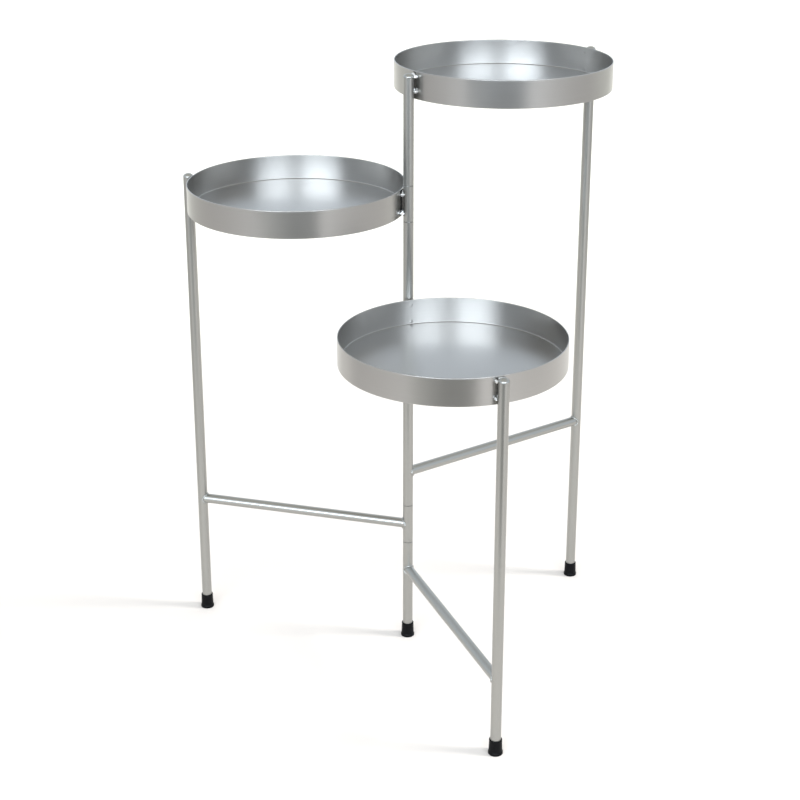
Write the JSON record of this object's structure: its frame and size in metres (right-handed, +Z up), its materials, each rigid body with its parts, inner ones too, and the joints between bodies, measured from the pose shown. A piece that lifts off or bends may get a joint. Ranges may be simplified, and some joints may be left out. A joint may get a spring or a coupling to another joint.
{
  "type": "tiered plant stand",
  "caption": "Folding plant stand: shallow round trays at stepped heights swing about a central post, each on a tubular ladder frame with rubber feet.",
  "frame": {"origin": "on the pivot axis of the post, at the underside of its rubber foot", "axes": "+Z up along the post; the high frame lies at azimuth 35.35 degrees from +X, the middle frame at 164.65 and the low frame at -69.05, so that -Y faces the viewer of the picture"},
  "size_m": [0.5292, 0.4871, 0.749],
  "materials": {
    "tray_silver": "satin",
    "tube_silver": "satin",
    "weld_silver": "satin",
    "foot_rubber": "matt",
    "zinc_steel": "bright zinc"
  },
  "bodies": {
    "high_frame": {"high_tray_wall": "tray_silver", "high_tray_floor": "tray_silver", "high_leg_tube": "tube_silver", "high_leg_cap": "tube_silver", "high_leg_foot": "foot_rubber", "high_rail": "tube_silver", "high_tray_welds": "weld_silver", "high_rail_welds": "weld_silver", "high_upper_post_tube": "tube_silver", "high_lower_post_tube": "tube_silver", "post_spacer": "tube_silver", "post_cap": "tube_silver", "pivot_rod": "zinc_steel", "retaining_washer": "zinc_steel", "retaining_screw": "zinc_steel"},
    "mid_frame": {"mid_tray_wall": "tray_silver", "mid_tray_floor": "tray_silver", "mid_leg_tube": "tube_silver", "mid_leg_cap": "tube_silver", "mid_leg_foot": "foot_rubber", "mid_rail": "tube_silver", "mid_tray_welds": "weld_silver", "mid_rail_welds": "weld_silver", "mid_upper_sleeve": "tube_silver", "mid_lower_sleeve": "tube_silver"},
    "low_frame": {"low_tray_wall": "tray_silver", "low_tray_floor": "tray_silver", "low_leg_tube": "tube_silver", "low_leg_cap": "tube_silver", "low_leg_foot": "foot_rubber", "low_rail": "tube_silver", "low_tray_welds": "weld_silver", "low_rail_welds": "weld_silver", "low_upper_sleeve": "tube_silver", "low_post_tube": "tube_silver", "post_foot": "foot_rubber"}
  },
  "joints": [
    {"name": "mid_frame_swing", "type": "hinge", "parent": "high_frame", "child": "mid_frame", "pos_m": [0, 0, 0], "axis": [0, 0, 1], "range_deg": [-125, 61]},
    {"name": "low_frame_swing", "type": "hinge", "parent": "high_frame", "child": "low_frame", "pos_m": [0, 0, 0], "axis": [0, 0, 1], "range_deg": [-61, 100]}
  ]
}
